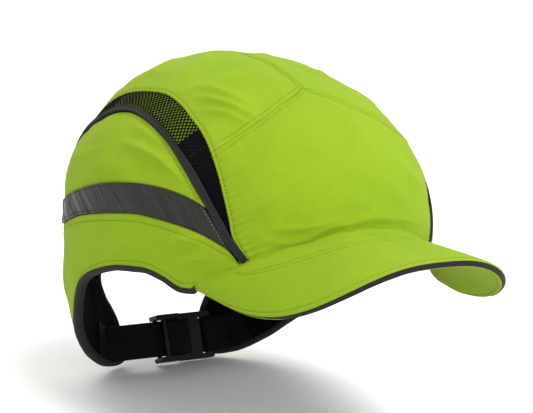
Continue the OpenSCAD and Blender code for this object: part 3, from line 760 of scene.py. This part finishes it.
# section of a binding: (mm in from the edge, height)
BINDING_SECTION = [(2.7, 0.0), (2.72, 0.45), (2.5, 0.75), (1.4, 0.95), (0.4, 0.8), (-0.25, 0.2), (-0.5, -1.0),
                   (-0.45, -2.4), (-0.1, -3.5), (0.6, -4.1), (1.6, -4.2), (2.4, -4.0), (2.6, -3.6), (2.5, -3.2),
                   (1.0, -1.8)]


def binding(line, thin, *pieces):
    """Tape folded over the cloth's edge, for each (name, node, left); thin leaves out the share over the lining."""
    n = outward(line)
    base = on_crown(line, 0)
    side = aside(line, 1.0) - base
    side[0], side[-1] = side[1], side[-2]
    s = arc(base)
    wob = 0.18 * wave1(s / 7.0, 21)
    ring = []
    for w, h in BINDING_SECTION:
        depth = np.where(h < -0.5, h * (1 - 0.45 * thin), h)
        ring.append(base + side * (w + wob)[:, None] + n * (depth + 0.06 * wave1(s / 3.1, 22) * (h > 0))[:, None])
    ring = np.stack(ring, 1)
    uv = cloth_uv(s[:, None], np.linspace(0, 9, ring.shape[1]))
    for name, node, left in pieces:
        add_object(name, node, ring, skin(ring, True), BINDING, uv, left)
    return base + side * 1.9, n


def hem_pieces():
    """The two hem bindings, from the peak to the flap's end, and the one round the rear opening."""
    p, _, guide, on_hem, index = lower_lines(0.9)
    row = STITCHES["stitches_binding"].row
    flap = on_hem & (index <= FLAP_END + 0.02)
    thin = (1 - 1 / (1 + np.exp((guide - 60) * -0.35)))[flap]
    mid, n = binding(p[flap], thin, ("hem_binding_right_tape", "hem_binding_right", False),
                     ("hem_binding_left_tape", "hem_binding_left", True))
    rows = ((mid + n * 0.95, n), (mid - n * (4.2 - 1.5 * thin)[:, None], -n))
    for pts, out in rows:
        row(pts, out)
    for pts, out in rows:
        row(flip_x(pts), flip_x(out))
    half = p[on_hem & (index >= FLAP_END - 0.02)]
    line = np.concatenate([half, flip_x(half[:-1])[::-1]])
    mid, n = binding(line, np.full(len(line), 0.5), ("opening_binding_tape", "opening_binding", False))
    row(mid + n * 0.95, n)


def lining(left):
    """Padded lining on the inside of the neck flap, tufted by its edge seams."""
    p, _, guide, on_hem, index = lower_lines(1.6)
    keep = on_hem & (index >= 9) & (index <= 30)
    a = guide[keep]
    up = on_crown(ray(np.stack([a, height_at(shell_rim, a) - 1.5], 1)), 0)
    s = Sheet(between(aside(p, 2.6)[keep], up, 36))
    puff = 1 - np.exp(-(s.rim() / 3.5) ** 1.3)
    soft = wave2(s.u / 17, s.v / 13, 31 + left) * 0.45 + wave2(s.u / 6.5, s.v / 5.5, 33 + left) * 0.2
    run = 0.35 * np.sin(s.u / 3.0 + wave1(s.v / 8, 35) * 1.5) * np.exp(-s.dist["low"] / 6)
    s.pad(*sided(left, "lining_cloth", "lining"), LINING, -1.45, -3.1 - puff * (1.3 + soft + run), 0.35, left)


# ---- mesh vents
def in_polygon(q, poly):
    x, y = q[:, :1], q[:, 1:]
    (x0, y0), (x1, y1) = poly.T, np.roll(poly, -1, axis=0).T
    with np.errstate(divide="ignore", invalid="ignore"):
        cut = (x1 - x0) * (y - y0) / (y1 - y0) + x0
    return (((y0 > y) != (y1 > y)) & (x < cut)).sum(1) % 2 == 1


def angles(p):
    """[angle from front, angle up] of points or directions, in degrees."""
    d = unit(p)
    return np.stack([np.degrees(np.arctan2(-d[..., 0], -d[..., 1])), np.degrees(np.arcsin(d[..., 2]))], -1)


def mesh_vent(left):
    """Open net with round holes in a diamond lattice, and the strip of cover cloth behind its middle."""
    pitch, hole, diagonal = 1.95, 0.42, 0.7071
    base = line3(piping_top[1:], 900)
    side, s = aside(base, 1.0) - on_crown(base, 0), arc(base)

    def place(q):
        return on_crown(sample(q[:, 0], s, base) + sample(q[:, 0], s, side) * q[:, 1:2], 0)
    up, low = line3(vent_top, 400), line3(piping_top[1:], 400)
    border = np.concatenate([up, low])
    span = int((s[-1] + 30) / pitch) + 2
    cells = []
    for i in range(-4, span * 2):
        for j in range(-span * 2, span * 2):
            x, y = (i - j) * pitch * diagonal, (i + j) * pitch * diagonal
            if -2 < x < s[-1] + 2 and -2.2 < y < 24:
                cells.append((i, j, x, y))
    centre = place(np.array(cells)[:, 2:4])
    ok = in_polygon(angles(centre), np.concatenate([angles(up), angles(low)[::-1]]))
    for part in np.array_split(np.where(~ok)[0], 40):
        ok[part] = np.linalg.norm(centre[part, None] - border[None], axis=-1).min(1) < 1.1
    corner, flat, faces = {}, [], []
    ring = [(-1, -1), (0, -1), (1, -1), (1, 0), (1, 1), (0, 1), (-1, 1), (-1, 0)]

    def vert(a, b):
        """The corner that neighbouring cells share."""
        if (a, b) not in corner:
            corner[a, b] = len(flat)
            flat.append(((a - b) * (pitch / 2) * diagonal, (a + b) * (pitch / 2) * diagonal))
        return corner[a, b]
    for (i, j, x, y), keep in zip(cells, ok):
        if not keep:
            continue
        outer = [vert(2 * i + a, 2 * j + b) for a, b in ring]
        first = len(flat)
        for a, b in ring:
            r = hole * pitch / math.hypot(a, b)
            flat.append((x + (a - b) * r * diagonal, y + (a + b) * r * diagonal))
        for k in range(8):
            k2 = (k + 1) % 8
            faces.append((outer[k], outer[k2], first + k2, first + k))
    flat = np.array(flat)
    p = place(flat)
    wave = 0.12 * wave2(flat[:, 0] / 9, flat[:, 1] / 7, 41 + left)
    points = p + outward(p) * (wave - 0.72)[:, None]
    ob = add_object(*sided(left, "mesh", "mesh_vent"), points, faces, MESH, flat * MM, left)
    modifier(ob, "thickness", "SOLIDIFY", thickness=0.25 * MM, offset=0)
    a, b = line3(piping_top[1:], 300), line3(vent_top, 300)
    ang = angles(a)[:, 0]
    middle = (ang > 56.5) & (ang < 114)
    backing = Sheet(between(a[middle], b[middle], 12), thick=1.45, base=-1.15)
    backing.build(*sided(left, "vent_backing"), None, HI_VIS, left)


# ---- peak
PEAK_HALF, PEAK_LONG, PEAK_ROOT, PEAK_CREST, PEAK_ARCH, CORNER = 68.5, 116.8, 68.9, 17.5, 56.2, 86.0
PEAK_SEAM = full(line3(bill_line, 200, 8))


def peak_outline(a, grow):
    s, c = np.sin(rad(a)), np.cos(rad(a))
    x = (PEAK_HALF + grow) * np.sign(s) * np.abs(s) ** 0.62
    return np.stack([x, -PEAK_ROOT - (PEAK_LONG + grow) * np.abs(c) ** 0.57], -1)


def peak_z(x, y):
    f = (-PEAK_ROOT - y) / 100
    return PEAK_CREST - (PEAK_ARCH + 1.1 * f) * np.abs(x / 80) ** 2.7 - 7.8 * f + 5.5 * f * f


def peak_angle(s):
    t = 1 - np.abs(1 - 2 * s)
    return 90 * np.sign(1 - 2 * s) * (1 - 0.45 * t - 0.55 * t * t * (3 - 2 * t))


def seam_at(s):
    q = np.asarray(s) * (len(PEAK_SEAM) - 1)
    k = np.minimum(q.astype(int), len(PEAK_SEAM) - 2)
    return PEAK_SEAM[k] + (PEAK_SEAM[k + 1] - PEAK_SEAM[k]) * (q - k)[:, None]


def peak_edge(s, stand, grow):
    a = peak_angle(s)
    far = np.abs(a) > CORNER
    e = peak_outline(np.where(far, CORNER * np.sign(a), a), grow)
    c = on_crown(seam_at(np.where(s < 0.5, 0.0, 1.0)), stand)
    c = c + np.stack([max(grow, 0) * np.sign(a), 0 * a, 0 * a], 1)
    p = np.stack([e[:, 0], e[:, 1], peak_z(e[:, 0], e[:, 1])], 1)
    return np.where(far[:, None], p + (c - p) * (0.9 * (np.abs(a) - CORNER) / (90 - CORNER))[:, None], p)


def peak_across(x, y, w):
    """The direction across the peak's thickness."""
    f = (-PEAK_ROOT - y) / 100
    k = w * 2.7 / 80 * (PEAK_ARCH + 1.1 * f)
    return unit(np.stack([k * np.sign(x) * np.abs(x / 80) ** 1.7, 0 * x, 1 + 0 * x], -1))


def peak_net(s, v, stand, grow):
    """Points on the peak's top and the directions across its thickness, for shares s along and v outwards."""
    p = on_crown(seam_at(s), stand)[:, None]
    e = peak_edge(s, stand, grow)[:, None]
    v = v[None]
    x = p[..., 0] + (e[..., 0] - p[..., 0]) * v
    y = p[..., 1] + (e[..., 1] - p[..., 1]) * v
    lp = p[..., 2] - peak_z(p[..., 0], p[..., 1])
    le = e[..., 2] - peak_z(e[..., 0], e[..., 1])
    w = np.minimum(1, 2.5 * v) * np.minimum(1, 0.1 + (90 - np.abs(peak_angle(s)))[:, None] / (90 - CORNER))
    z = peak_z(x, y) + le + (lp - le) * (1 - v) ** 2
    return np.stack([x, y, z], -1), peak_across(x, y, w)


def even_shares(n):
    """Shares along the seam that space the peak's edge evenly."""
    s = np.linspace(0, 1, 1201)
    d = arc(peak_edge(s, 0.5, -0.5))
    return np.interp(np.linspace(0, d[-1], n + 1), d, s)


def peak_cloth(name, node, mat, drop, sign, seed):
    """One of the peak's covers: drop mm below its top, with sign the side that it faces."""
    n, m = 230, 84
    s = even_shares(n)
    p, across_dir = peak_net(s, np.linspace(0, 1, m + 1), 0.5, -0.3)
    # the inner edge is tucked up behind the panels
    p[:, 0] = on_crown(ray(angles(seam_at(s)) + np.array([0.0, 2.6])), -2.1)
    if drop:
        e = arc(p[:, -1])
        ends = np.clip(np.minimum(e, e[-1] - e) / 40, 0, 1)[:, None, None]
        p = p - (0.9 + (drop - 0.9) * ends * ends * (3 - 2 * ends)) * across_dir
    u, w = arc(p, 0), arc(p, 1)
    edge = w[:, -1:] - w
    x, y = p[..., 0], p[..., 1]
    near = np.minimum(edge, w)
    off = 0.45 * (1 - np.exp(-(near / 7) ** 1.5))
    off += 0.3 * wave2(x / 23 + y / 60, y / 19, seed) * np.clip(near / 8, 0, 1)
    off += 0.12 * wave2(x / 8, y / 9, seed + 1) * np.clip(near / 5, 0, 1)
    along = u[:, -1:] * np.ones_like(w)
    off += 0.22 * wave1(along / 6.5, seed + 2) * np.exp(-edge / 6) * np.clip(edge / 1.5, 0, 1)
    off += 0.2 * wave1(along / 4.6, seed + 4) * np.exp(-w / 7) * np.clip(w / 1.5, 0, 1)
    turn = np.abs(angles(seam_at(s))[:, :1])
    reach = np.clip(1 - (turn / 32.5) ** 2, 0, 1) ** 0.5
    rows = (4.5 + 14.5 * reach, 4.5 + 19 * reach)
    for r in rows:
        off -= groove(w, r, 0.4, 0.55) * (reach > 0)
        off += 0.12 * wave1(along / 3.4, seed + 6) * bell((w - r) / 3)
    off -= groove(edge, PEAK_ROW, 0.32, 0.55)
    off += turned(edge, 0.8)
    nor = across_dir * sign
    out = p + nor * off[..., None]
    net_object(name, node, out, p - nor * 0.9, u, w, mat, flip=sign > 0)
    row = STITCHES["stitches_cover"].row
    for d, values, keep in ((rows[0], w, reach > 0), (rows[1], w, reach > 0), (PEAK_ROW + 0 * reach, edge, reach > -1)):
        pts, ns = traced(values, out, nor, d[:, 0], (values.max(1) >= 6) & keep[:, 0])
        row(pts + ns * 0.05, ns)


# section of the peak's piping: (height, mm outwards)
PEAK_STRIP = [(1.55, -1.6), (1.6, -0.1), (1.5, 0.22), (1.25, 0.36), (0.8, 0.38), (0.0, 0.3), (-0.8, 0.38),
              (-1.25, 0.36), (-1.5, 0.22), (-1.6, -0.1), (-1.55, -1.6), (0, -1.7)]


def peak_strip():
    """Piping in the peak's edge; near the corners it is tucked in, and it ends 30 mm before them."""
    p, t = peak_net(even_shares(420), np.array([1.0]), 0.5, -0.3)
    p, t = p[:, 0] - t[:, 0] * 2.2, t[:, 0]
    out = unit(np.cross(t, unit(np.gradient(p, axis=0))))
    if out[len(out) // 2, 1] > 0:
        out = -out
    d = arc(p)
    ends = np.minimum(d, d[-1] - d)
    tuck = ease(np.clip(1 - (ends - 35) / 40, 0, 1))
    p = p - out * (1.6 * tuck)[:, None] + t * (0.4 * tuck)[:, None]
    keep = ends > 30
    p, t, out, tuck, d = p[keep], t[keep], out[keep], tuck[keep], d[keep]
    high, wob = 0.86 - 0.3 * tuck, 0.1 * wave1(d / 9, 51)
    ring = np.stack([p + t * (a * high)[:, None] + out * (b + wob)[:, None] for a, b in PEAK_STRIP], 1)
    uv = cloth_uv(d[:, None], np.linspace(0, 8, len(PEAK_STRIP)))
    add_object("peak_edge_tape", "peak_piping", ring, skin(ring, True), PIPING, uv)


# ---- strap
STRAP_Y, STRAP_DROP, LEAN, WEB_WIDTH, WEB_THICK = 70.5, 90.0, rad(22), 20.0, 1.4
LINING_IN = -CLOTH - 0.3 - 2.1


def strap_point(x, d, h):
    x, d, h = np.broadcast_arrays(np.asarray(x, float), np.asarray(d, float), np.asarray(h, float))
    return np.stack([x, STRAP_Y + d * np.cos(LEAN) + h * np.sin(LEAN),
                     -STRAP_DROP - d * np.sin(LEAN) + h * np.cos(LEAN)], -1)


def web_mesh(name, node, mid, face):
    """Woven strap along mid (points), with face the outward direction; its edges are rounded and ribbed."""
    t = unit(np.gradient(mid, axis=0))
    wide = unit(np.cross(face, t))
    f = np.cross(t, wide)
    s = arc(mid)
    sect = []
    for k in range(29):
        q = -1 + 2 * k / 28
        rounded = 1 - max(0, (abs(q) - 0.93) / 0.07) ** 2 * 0.75
        sect.append((q * WEB_WIDTH / 2, WEB_THICK / 2 * rounded, 1))
    sect += [(w, -h, -1) for w, h, _ in sect[::-1]]
    ring = []
    for w, h, sg in sect:
        rib = 0.06 * np.sin(2 * np.pi * (s / 1.5 + abs(w) * 0.45)) * sg
        ring.append(mid + wide * w + f * (h + rib)[:, None])
    ring = np.stack(ring, 1)
    add_object(name, node, ring, skin(ring), WEBBING, cloth_uv(s[:, None], np.array([a[0] for a in sect])))


def strap_run(xs, d, start, reach):
    """Strap points and outward directions: free at depth d, and laid on the lining past start, over reach mm."""
    lay, face = [], []
    for x in xs:
        k = ease(np.clip((abs(x) - start) / reach, 0, 1))
        laid = on_crown(strap_point(x, 0, 0), LINING_IN - 1.0)
        lay.append(strap_point(x, d, 0) * (1 - k) + laid * k)
        face.append(np.array([0, np.cos(LEAN), -np.sin(LEAN)]) * (1 - k) + outward(strap_point(x, 0, 0)) * k)
    return lay, face


def strap():
    bar_x, bar_d, r = 25.75, 0.35, 1.95 + 0.7
    # fixed half: from the flap, round the female half's bar and back on itself
    xs = np.concatenate([np.arange(53, 40, -0.5), np.arange(40, bar_x + 3, -0.5)])
    lay, face = strap_run(xs, bar_d - r, 37, 7)
    face = [-f for f in face]
    zero = strap_point(0, 0, 0)
    for a in np.linspace(-90, 90, 25):
        c, s = np.cos(rad(a)), np.sin(rad(a))
        lay.append(strap_point(bar_x - r * c, bar_d + r * s, 0))
        face.append(strap_point(-c, s, 0) - zero)
    for x in np.arange(bar_x + 0.5, bar_x + 13, 0.5):
        drop = ease(np.clip((x - bar_x - 2) / 6, 0, 1))
        lay.append(strap_point(x, bar_d + r - drop * (2 * r - 1.5), 0))
        face.append(strap_point(0, 1, 0) - zero)
    web_mesh("strap_fixed", "webbing_fixed", np.array(lay), np.array(face))
    # adjusting half: from the other flap to behind the female half
    lay, face = strap_run(np.arange(-56, 12.6, 0.6), -4.0, 38, 8)
    web_mesh("strap_adjust", "webbing_adjust", np.array(lay), np.array(face))


# ---- padding inside the shell
# voxel and furthest swell from the CAD pad in m, and the frames of the Cloth run
PAD_VOXEL, PAD_SWELL, PAD_FRAMES = 0.0022, 0.0015, 20
CLOTH_RUN = {"quality": 5, "mass": 0.3, "use_pressure": True, "uniform_pressure_force": 4,
             "tension_stiffness": 15, "bending_stiffness": 0.5}


def plump(node, name, mat):
    """A foam pad: the CAD pad remeshed and blown up a little with Cloth, then smoothed."""
    ob = new_object(name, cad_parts[node].data.copy())
    scene = bpy.context.scene
    modifier(ob, "remesh", "REMESH", mode="VOXEL", voxel_size=PAD_VOXEL)
    bpy.context.view_layer.update()
    st = modifier(ob, "cloth", "CLOTH").settings
    for k, value in CLOTH_RUN.items():
        setattr(st, k, value)
    st.effector_weights.gravity = 0
    for f in range(1, PAD_FRAMES + 1):
        scene.frame_set(f)
    dg = bpy.context.evaluated_depsgraph_get()
    me = bpy.data.meshes.new_from_object(ob.evaluated_get(dg), depsgraph=dg)
    scene.frame_set(1)
    ob.modifiers.clear()
    old, ob.data = ob.data, me
    bpy.data.meshes.remove(old)
    v = np.empty(len(me.vertices) * 3)
    me.vertices.foreach_get("co", v)
    lo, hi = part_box(node)
    v = np.clip(v.reshape(-1, 3), np.array(lo) - PAD_SWELL, np.array(hi) + PAD_SWELL)
    me.vertices.foreach_set("co", v.ravel())
    me.materials.clear()
    me.materials.append(mat)
    for p in me.polygons:
        p.use_smooth = True
    modifier(ob, "smooth", "SMOOTH", factor=0.5, iterations=3)
    modifier(ob, "subdivide", "SUBSURF", levels=1, render_levels=1)
    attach(ob, "cap")
    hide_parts(node)


def sweatband():
    low = [(0, 6.2), (20, 2.4), (43, -6.8), (60, -6.6), (77, -9.6), (90, -14), (100, -18)]
    top = [(0, 24), (20, 22), (43, 14), (60, 11), (77, 8), (90, 4), (100, 0)]
    s = Sheet(between(full(line3(low, 130)), full(line3(top, 130)), 34))
    foam_out = -CLOTH - 0.3 - 2.0 - 0.3
    near = s.rim()
    puff = 1 - np.exp(-(near / 3.0) ** 1.2)
    rib = 0.35 * np.sin(2 * np.pi * s.u / 11.0) * np.clip(near / 5, 0, 1)
    soft = 0.25 * wave2(s.u / 9, s.v / 7, 61)
    s.pad("sweatband_cloth", "sweatband", TERRY, foam_out, foam_out - 1.3 - puff * (1.3 + rib + soft), 0.6)


# ---- build
front_panel()
for is_left in (False, True):
    crown_panel(is_left)
    side_panel(is_left)
    reflective_band(is_left)
    lower_panel(is_left)
    vent_piping(is_left)
    mesh_vent(is_left)
    lining(is_left)
hem_pieces()
peak_cloth("peak_top_cloth", "peak_top", HI_VIS, 0.0, 1, 71)
peak_cloth("peak_under_cloth", "peak_under", PEAK_UNDER_SHADED, 4.1, -1, 75)
peak_strip()
strap()
sweatband()
for pad in ("front", "top", "left", "right", "rear"):
    plump("pad_" + pad, "foam_pad_" + pad, FOAM)
for group in STITCHES.values():
    group.build()


def repaint(node, mat, bevel=0.0):
    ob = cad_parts[node]
    ob.data.materials.clear()
    ob.data.materials.append(mat)
    if bevel:
        modifier(ob, "edges", "BEVEL", width=bevel, segments=3, limit_method="ANGLE", angle_limit=rad(35),
                 harden_normals=True)


repaint("bump_shell", SHELL)
repaint("peak_board", BOARD)
for part in ("buckle_female", "buckle_male", "prong_upper", "prong_lower"):
    repaint(part, BUCKLE, 0.00035)

# ---- floor, light and camera
floor_mesh = bpy.data.meshes.new("floor")
far, under = 6.0, -0.0005
floor_mesh.from_pydata([(-far, -far, under), (far, -far, under), (far, far, under), (-far, far, under)],
                       [], [(0, 1, 2, 3)])
floor_ob = new_object("floor", floor_mesh)
paper, tree, sh = new_material("floor_paper", (0.93, 0.93, 0.93), 0.9, Specular_IOR_Level=0.1)
spots = noise(tree, add(tree, "TexCoord").outputs["Object"], 8.0, 3)
tree.links.new(ramp(tree, spots, [(0.2, 0.92), (0.8, 0.94)]), sh.inputs["Base Color"])
floor_mesh.materials.append(paper)

studio = bpy.data.worlds.new("studio")
bpy.context.scene.world = studio
studio.use_nodes = True
bg = studio.node_tree.nodes["Background"]
bg.inputs["Color"].default_value = (1, 1, 1, 1)
bg.inputs["Strength"].default_value = 1.0

aim = Vector((0, 0, 0.1))
for name, place, power, size in (
        ("key", (0.2, -0.75, 1.45), 22, 1.1), ("fill_left", (-1.2, -0.5, 0.5), 1, 1.0),
        ("fill_right", (1.2, -0.6, 0.6), 3, 1.0), ("back", (0.2, 1.2, 0.9), 4, 1.0)):
    light = bpy.data.lights.new(name, "AREA")
    light.energy = power
    light.shape = "DISK"
    light.size = size
    lamp = new_object(name, light)
    lamp.location = place
    lamp.rotation_euler = (aim - Vector(place)).to_track_quat("-Z", "Y").to_euler()

# the camera fitted to the photo's outline
AZ, EL, ROLL, DISTANCE, LENS = rad(-32.487), rad(12.277), rad(3.065), 1.258, 159.53
back = np.array([np.sin(AZ) * np.cos(EL), -np.cos(AZ) * np.cos(EL), np.sin(EL)])
right = np.array([np.cos(AZ), np.sin(AZ), 0])
up = np.cross(right, -back)
R = right * np.cos(ROLL) + up * np.sin(ROLL)
U = -right * np.sin(ROLL) + up * np.cos(ROLL)
target = (CENTRE + [5.191, -19.162, 6.14]) * MM
cam = bpy.data.cameras.new("camera")
cam.lens = LENS
cam.sensor_width = 36
cam.clip_end = 20
cam_ob = new_object("camera", cam)
view = Matrix(list(zip(R, U, back))).to_4x4()
view.translation = Vector(target + back * DISTANCE)
cam_ob.matrix_world = view
bpy.context.scene.camera = cam_ob
bpy.context.scene.view_settings.view_transform = "Standard"
